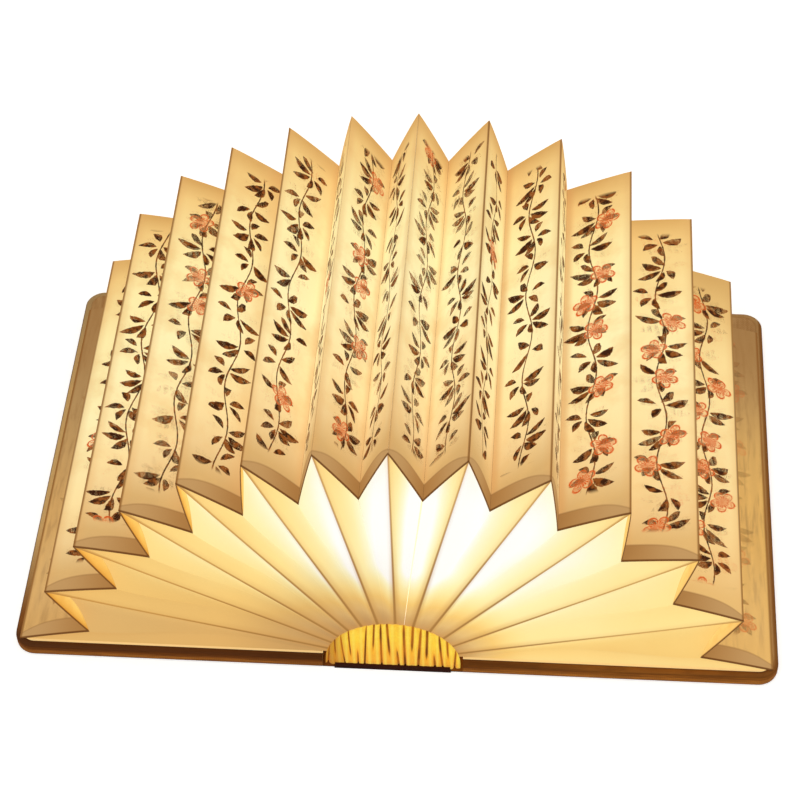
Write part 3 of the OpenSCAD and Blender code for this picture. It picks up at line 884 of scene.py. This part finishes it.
def gusset_spread(i, side):
    """How far a gusset's valley corner lies from its page's fold line."""
    down = leaf_frame(i, side)[1]
    return LEAF_WIDTH * math.sqrt(max(0.0, 1 - float(down @ outward(i)) ** 2))


def gusset(i, end, sides, light, edge):
    """One end's gusset of page i, over one or both of its sides."""
    half_fan = [0.0, CREASE_SHARE] + [(c + 1) / GUSSET_COLUMNS for c in range(GUSSET_COLUMNS)]
    columns = [(-1, u) for u in reversed(half_fan)] if -1 in sides else []
    if 1 in sides:
        columns += [(1, u) for u in (half_fan[1:] if columns else half_fan)]
    skin = PAGE_END[end] - end * SEAM
    unmarked = COVER_CREASE if i in COVERS else 0.0
    outer, inner, crease, sweeps = [], [], [], []
    for side, u in columns:
        spread = gusset_spread(i, side)
        reach = VALLEY_REACH - (SWAY_ROOM / spread if (i, side) == (LEFT_PAGES, 1) else 0.0)
        for row in range(GUSSET_ROWS + 1):
            v = row / GUSSET_ROWS
            x, z = gusset_point(i, side, u * reach, v)
            y = skin - end * set_back(u, v)
            outer.append((x, y, z))
            inner.append((x, y - end * GUSSET_T, z))
            crease.append(spread * v * u + unmarked)
            sweeps.append(sweep(i, side, u))
    nu = len(columns) - 1
    points, faces, groups, sharp = closed_sheet(outer, inner, nu, GUSSET_ROWS, end > 0, side_group=0)
    middle = next(c for c, column in enumerate(columns) if column[1] == 0.0)
    ridge_line = [middle * (GUSSET_ROWS + 1) + row for row in range(GUSSET_ROWS + 1)]
    sharp = sharp + list(zip(ridge_line, ridge_line[1:]))
    node = page_body(i) + "_gusset"
    half = f"_{SIDE_WORD[sides[0]]}" if i == LEFT_PAGES else ""
    piece = build(f"{node}_{END_WORD[end]}{half}", points, faces, page_body(i),
                  [light, light, edge], {"crease": crease, "sweep": sweeps}, groups, sharp)
    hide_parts(node)
    width = max(NARROWEST_CUT, sum(gusset_spread(i, side) for side in sides))
    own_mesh(piece)


# ---- Gathered headbands ----

GATHERS = 18
BAND_COLUMNS = 220
BAND_ROWS = 14
BAND_DEPTH = 1.1        # how deep the grooves are
BAND_SWELL = 0.5        # how far the cloth bulges between them
BAND_NOTCH = 0.45       # how far a groove lifts the lower edge
BAND_T = 1.2
BAND_LEAST_T = 0.5
BAND_LEAST_HEIGHT = 0.4
GROOVE_FADE = 0.3       # share of the height that a groove's end fades over
GROOVE_REACH = 0.93     # the outermost groove's place, in half widths
GROOVE_STRAY = 0.35     # how far grooves stray from even steps
GROOVE_SLANT = 0.05
GROOVE_WIDTH, GROOVE_WIDER = 0.010, 0.008  # sure and by chance
# Where grooves start and end, by turns, in heights of the band
GROOVE_SPANS = ((-0.4, 1.2), (0.3, 1.3), (-0.4, 1.2), (0.12, 1.3), (-0.5, 0.55))
BAND_GAP = 0.3          # clear of the pages' ends
FOOT_LEAN, TOP_LEAN, END_LEAN = 0.4, 1.9, 1.2
FRONT_SEAT = 0.7        # the front band's foot clears the dark spine strip by this much,
SEAT_SHARE = 0.82       # from its middle out to this share of its half width


def grooves():
    """Each groove's place across, slant, width and the heights it starts and ends at.

    Sines scatter them, the same way each run.
    """
    found = []
    for k in range(GATHERS):
        odd = math.sin(12.9 * k + 4.1) * 0.5 + 0.5
        step = (k + GROOVE_STRAY * (odd - 0.5)) / (GATHERS - 1)
        slant = GROOVE_SLANT * math.sin(5.3 * k + 0.6)
        span = GROOVE_SPANS[k % len(GROOVE_SPANS)]
        found.append((GROOVE_REACH * (2 * step - 1), slant, GROOVE_WIDTH + GROOVE_WIDER * odd, *span))
    return found


GROOVES = grooves()


def groove_depth(x, v):
    """0 on top of a gather and 1 down in a groove."""
    depth = 0.0
    for place, slant, width, low, high in GROOVES:
        shown = max(0.0, min(1.0, (v - low) / GROOVE_FADE, (high - v) / GROOVE_FADE))
        off = (x - place - slant * (v - 0.5)) / (width * (0.6 + 0.6 * shown))
        depth = max(depth, shown * math.exp(-off * off))
    return depth


def gather_swell(x):
    """How far the cloth bulges between grooves."""
    return min(1.0, GATHERS * min(abs(x - groove[0]) for groove in GROOVES))


def headband(end, side, cloth):
    """One half of a headband, from the middle of the spine out to one side."""
    node = f"{END_WORD[end]}_headband"
    low, high = box_mm(node)
    half_width = (high[0] - low[0]) / 2
    outer_y = low[1] if end < 0 else high[1]
    seat, edge_seat, crown = low[2] + (FRONT_SEAT if end < 0 else 0.0), low[2], high[2]
    room = abs(PAGE_END[end] - outer_y) - BAND_GAP
    outer, inner, groove, height, pleat = [], [], [], [], []
    for c in range(BAND_COLUMNS + 1):
        x = side * c / BAND_COLUMNS
        top = seat + (crown - seat) * math.sqrt(max(0.0, 1 - x * x))
        foot = seat if abs(x) < SEAT_SHARE else edge_seat
        start = foot + BAND_NOTCH * groove_depth(x, 0.0)
        flat_part = BAND_SWELL * (1 - gather_swell(x)) ** 2
        for row in range(BAND_ROWS + 1):
            v = row / BAND_ROWS
            depth = groove_depth(x, v)
            z = start + max(top - start, BAND_LEAST_HEIGHT) * v
            lean = FOOT_LEAN * (1 - v) ** 4 + TOP_LEAN * v ** 4 + END_LEAN * abs(x) ** 8
            into = min(lean + BAND_DEPTH * depth + flat_part, room - BAND_LEAST_T)
            outer.append((x * half_width, outer_y - end * into, z))
            inner.append((x * half_width, outer_y - end * min(into + BAND_T, room), z))
            groove.append(depth)
            height.append(v)
            pleat.append(gather_swell(x))
    points, faces, _, _ = closed_sheet(outer, inner, BAND_COLUMNS, BAND_ROWS, flip=side == end)
    piece = build(f"{node}_{SIDE_WORD[side]}", points, faces, "spine", [cloth],
                  {"groove": groove, "height": height, "pleat": pleat})
    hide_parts(node)
    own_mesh(piece)


# ---- Covers ----

CORNER_R = 9.0
CORNER_STEPS = 10
# Rings from the underside out, up and over: inset, height, how dark the seam is
COVER_RINGS = ((5.0, 0.0, 0.0), (1.6, 0.0, 0.0), (0.7, 0.18, 0.0), (0.12, 0.75, 0.0), (0.0, 1.7, 0.0),
               (0.0, 4.4, 0.0), (0.15, 5.3, 0.0), (0.75, 5.95, 0.0), (1.6, 6.1, 0.0), (2.4, 6.1, 0.1),
               (3.2, 6.02, 1.0), (3.2, 5.5, 1.0))


def cover_outline(inset):
    """Outline of the right cover at an inset, from its inner front corner round to its inner rear one."""
    far, half = COVER_HIGH[0] - inset, COVER_HIGH[1] - inset
    r = max(1.0, CORNER_R - inset)
    points = [(COVER_START, -half)]
    for centre_y, first in ((-half + r, -90), (half - r, 0)):
        for step in range(CORNER_STEPS + 1):
            a = math.radians(first + 90 * step / CORNER_STEPS)
            points.append((far - r + r * math.cos(a), centre_y + r * math.sin(a)))
    return points + [(COVER_START, half)]


def cover_wrap(side, cloth):
    """The cloth round one cover, with its rounded corners and its turned-in hem."""
    points, seam = [], []
    for inset, height, dark in COVER_RINGS:
        ring = cover_outline(inset)
        points += [(side * x, y, height) for x, y in ring]
        seam += [dark] * len(ring)
    n = len(points) // len(COVER_RINGS)
    faces = [tuple(range(n))[::-1], tuple(range(len(points) - n, len(points)))]
    for ring in range(len(COVER_RINGS) - 1):
        for k in range(n):
            a, b = ring * n + k, ring * n + (k + 1) % n
            faces.append((a, b, b + n, a + n))
    if side < 0:
        faces = [face[::-1] for face in faces]
    name = SIDE_WORD[side]
    piece = build(f"{name}_cover_wrap", points, faces, f"{name}_cover", [cloth],
                  {"seam": seam})
    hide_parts(f"{name}_cover_cloth")


STRIP_COLUMNS = 12
STRIP_ROWS = 24
STRIP_LAP = 0.1         # how far it reaches in past the hinge line
STRIP_INSET = 0.6       # how far it ends inside the covers' ends
STRIP_TOP, STRIP_BOTTOM = 0.72, 0.04


def joint_strip(side, cloth):
    """The bare cloth between spine and cover, built flat; the real cloth bends as the cover closes."""
    half_length = COVER_HIGH[1] - STRIP_INSET
    start, end = HINGE_X - STRIP_LAP, COVER_START
    outer, inner = [], []
    for column in range(STRIP_COLUMNS + 1):
        x = side * (start + (end - start) * column / STRIP_COLUMNS)
        for y in np.linspace(-half_length, half_length, STRIP_ROWS + 1):
            outer.append((x, y, STRIP_TOP))
            inner.append((x, y, STRIP_BOTTOM))
    points, faces, _, sharp = closed_sheet(outer, inner, STRIP_COLUMNS, STRIP_ROWS, flip=side < 0)
    name = SIDE_WORD[side]
    piece = build(f"{name}_joint_cloth", points, faces, None, [cloth],
                  {"seam": [0.0]}, sharp=sharp)
    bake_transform(piece)


# ---- Pieces that stay as the frame has them ----

def dress(material, *nodes):
    """Gives nodes of the frame a material."""
    for node in nodes:
        slots = frame["nodes"][node].data.materials
        slots.clear()
        slots.append(material)


def dress_frame():
    """Materials for the solids that no piece replaces, inside and out."""
    dress(mottled("pressed_board", (140, 112, 78), (166, 136, 98), 0.8, 0.85, strength=0.5),
          "left_cover_board", "right_cover_board")
    dress(endpaper(), "left_endpaper", "right_endpaper")
    dress(spine_cloth(), "spine_cloth")
    dress(mottled("moulded_spine", (34, 22, 14), (46, 32, 22), 0.9, 0.6, strength=0.3), "spine_board")
    dress(mottled("moulded_tray", (226, 226, 220), (238, 238, 234), 0.9, 0.5), "core_tray")
    dress(mottled("plated_steel", (168, 168, 172), (196, 196, 200), 1.2, 0.28, 1.0),
          "charging_inlet", "tray_screws")
    dress(mottled("coated_board", (232, 232, 228), (246, 246, 242), 0.7, 0.4), "light_board")
    dress(mottled("battery_wrap", (44, 88, 150), (56, 104, 168), 0.3, 0.35), "battery")
    dress(mottled("solder_mask", (14, 78, 40), (22, 96, 52), 1.1, 0.35), "charging_board")
    dress(mottled("phosphor", (250, 214, 120), (255, 226, 150), 1.5, 0.4), "light_diodes")
    dress(lit_diffuser(), "diffuser")
    dress(mottled("clear_tube", (190, 214, 206), (210, 230, 224), 0.8, 0.15), "reed_switch")
    dress(mottled("plated_magnet", (180, 180, 184), (204, 204, 208), 0.9, 0.2, 1.0), "switch_magnet")


# ---- Floor, lights and camera ----

FLOOR_REACH = 3.0
FLOOR_LEVEL = -0.0004
FLOOR_GLOW = 0.62       # added for the camera alone, so that the floor renders white round its shadow
AMBIENT = 0.25
# Each lamp's name, place and size in metres, power in watts and colour
LAMPS = (("key_lamp", (-0.7, -1.0, 1.6), 1.2, 11.0, (1.0, 0.97, 0.92)),
         ("fill_lamp", (1.1, -0.6, 1.2), 1.4, 5.5, (1.0, 0.98, 0.95)),
         ("rear_lamp", (0.2, 1.3, 1.4), 1.4, 5.0, (1.0, 0.98, 0.95)))


def floor():
    """A pale floor that keeps the lamp's shadow."""
    mesh = bpy.data.meshes.new("floor")
    corners = ((-1, -1), (1, -1), (1, 1), (-1, 1))
    points = [(x * FLOOR_REACH, y * FLOOR_REACH, FLOOR_LEVEL) for x, y in corners]
    mesh.from_pydata(points, [], [(0, 1, 2, 3)])
    g = Graph("floor_white", 0.9)
    g.set("Base Color", rgb(238, 236, 232))
    seen = g.node("LightPath").outputs["Is Camera Ray"]
    bright = g.node("Emission", {"Strength": FLOOR_GLOW})
    both = g.node("AddShader", {0: g.shader.outputs[0], 1: bright.outputs[0]})
    pick = g.node("MixShader", {0: seen, 1: g.shader.outputs[0], 2: both.outputs[0]})
    output = g.tree.nodes["Material Output"]
    g.put(output.inputs["Surface"], pick.outputs[0])
    mesh.materials.append(g.material)
    added("floor", mesh)


def world():
    """Pale to the camera and in reflections, and dim warm light to everything else."""
    made = bpy.data.worlds.new("studio")
    bpy.context.scene.world = made
    made.use_nodes = True
    made.node_tree.nodes.clear()
    nodes = Nodes(made.node_tree)
    rays = nodes.node("LightPath").outputs
    dim = nodes.node("Background", {"Color": (1.0, 0.98, 0.95, 1.0), "Strength": AMBIENT})
    pale = nodes.node("Background")
    shown = nodes.math("MAXIMUM", rays["Is Camera Ray"], rays["Is Glossy Ray"])
    pick = nodes.node("MixShader", {0: shown, 1: dim.outputs[0], 2: pale.outputs[0]})
    nodes.node("OutputWorld", {"Surface": pick.outputs[0]})


def lamp(name, place, size, power, colour):
    """A soft square lamp that is aimed at the origin."""
    data = bpy.data.lights.new(name, "AREA")
    data.shape = "SQUARE"
    data.size = size
    data.energy = power
    data.color = colour
    made = added(name, data)
    made.location = place
    made.rotation_mode = "QUATERNION"
    made.rotation_quaternion = (-Vector(place)).to_track_quat("-Z", "Y")


def camera():
    """The camera, where the photograph was taken from."""
    a, e, r = (math.radians(v) for v in (AZIMUTH, ELEVATION, ROLL))
    back = Vector((math.sin(a) * math.cos(e), -math.cos(a) * math.cos(e), math.sin(e)))
    level = Vector((math.cos(a), math.sin(a), 0.0))
    upright = back.cross(level)
    right = level * math.cos(r) + upright * math.sin(r)
    up = upright * math.cos(r) - level * math.sin(r)
    data = bpy.data.cameras.new("camera")
    data.sensor_width = SENSOR
    data.lens = FOCAL_PX * SENSOR / IMAGE_PX
    data.clip_start, data.clip_end = 0.01, 20.0
    made = added("camera", data)
    turned = Matrix((right, up, back)).transposed().to_4x4()
    made.matrix_world = Matrix.Translation(TARGET + back * DISTANCE) @ turned
    bpy.context.scene.camera = made


def shade():
    """Every leaf, and the gussets at both ends of every page."""
    papers, inside, edge, light = {}, paper_inside(), paper_edge(), gusset_light()
    for i, side in LEAVES:
        paper_leaf(i, side, papers, inside, edge)
    single = {0: [(1,)], LEFT_PAGES: [(-1,), (1,)], PAGES + 1: [(-1,)]}
    for i in range(PAGES + 2):
        for end in (-1, 1):
            for sides in single.get(i, [(-1, 1)]):
                gusset(i, end, sides, light, edge)


def main():
    """Makes the whole scene."""
    bpy.context.scene.view_settings.view_transform = "Standard"
    camera()
    shade()
    band = band_cloth()
    for end in (-1, 1):
        for side in (-1, 1):
            headband(end, side, band)
    cloth = cover_cloth()
    for side in (-1, 1):
        cover_wrap(side, cloth)
        joint_strip(side, cloth)
    dress_frame()
    floor()
    world()
    for values in LAMPS:
        lamp(*values)


main()
